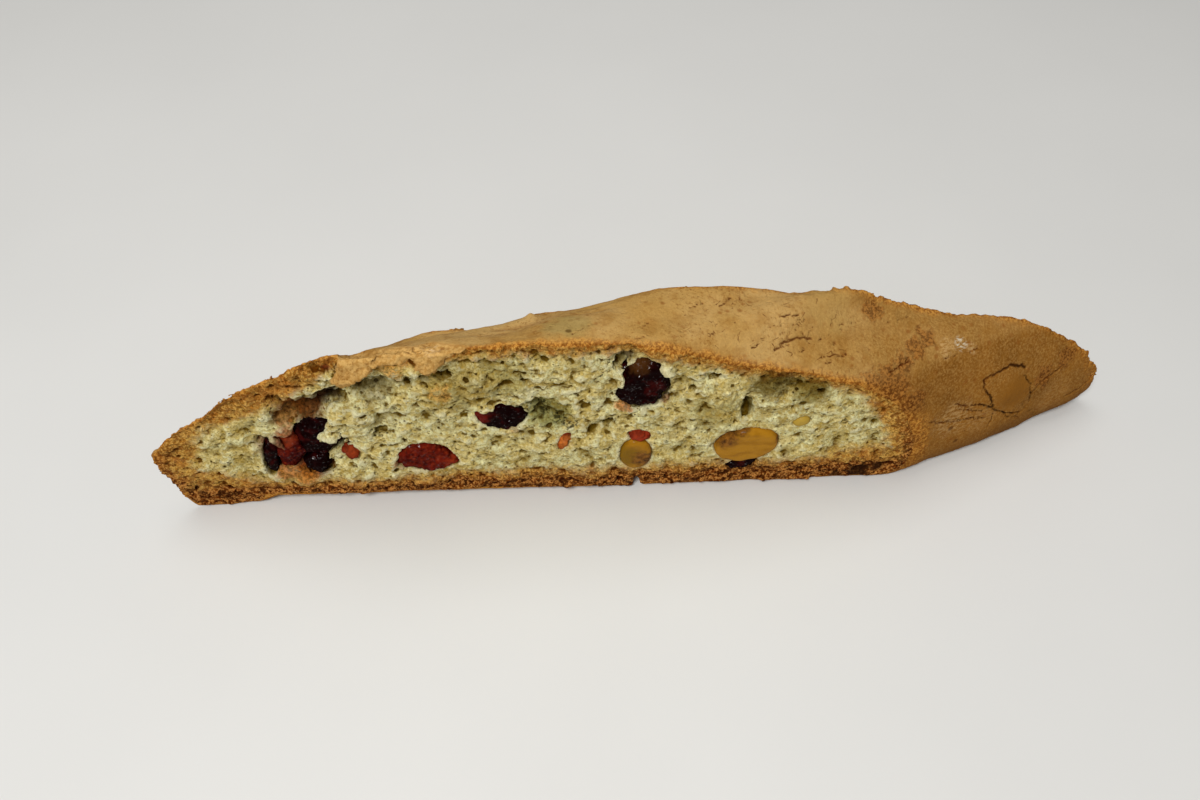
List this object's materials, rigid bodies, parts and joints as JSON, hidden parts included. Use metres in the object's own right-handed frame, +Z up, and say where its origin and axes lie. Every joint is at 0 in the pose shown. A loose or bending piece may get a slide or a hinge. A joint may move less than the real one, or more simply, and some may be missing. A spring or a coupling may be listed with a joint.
{
  "type": "biscotti",
  "caption": "Long bias-cut slice of twice-baked biscuit: flat base, browned domed crust, pale open crumb, dried cranberries and pistachios at the cut faces.",
  "frame": {"origin": "middle of the slice's bounding box, on the surface that its flat base stands on", "axes": "+X along the cut face from the low nose to the heel, +Y from the front cut face to the back one, +Z up to the domed top"},
  "size_m": [0.168, 0.0172, 0.0416],
  "materials": {
    "baked_dough": "matt, dry baked dough: smooth tan crust, pale open crumb",
    "dark_cranberry": "wrinkled, sticky gloss",
    "red_cranberry": "moist, translucent red",
    "pistachio": "smooth, slightly oily cut nut"
  },
  "bodies": {
    "root": {"biscuit": "baked_dough", "cranberry_left_folded": "dark_cranberry", "cranberry_left_red": "red_cranberry", "cranberry_left_sliver": "dark_cranberry", "cranberry_left_lump": "dark_cranberry", "cranberry_left_chip": "red_cranberry", "cranberry_low_red": "red_cranberry", "cranberry_middle": "dark_cranberry", "cranberry_shred": "red_cranberry", "cranberry_round": "dark_cranberry", "cranberry_over_nut": "red_cranberry", "pistachio_middle": "pistachio", "pistachio_right": "pistachio", "cranberry_under_nut": "dark_cranberry", "pistachio_chip": "pistachio", "cranberry_back_low": "red_cranberry", "cranberry_back_high": "dark_cranberry", "pistachio_back": "pistachio", "cranberry_back_right": "dark_cranberry", "pistachio_back_chip": "pistachio"}
  },
  "joints": []
}
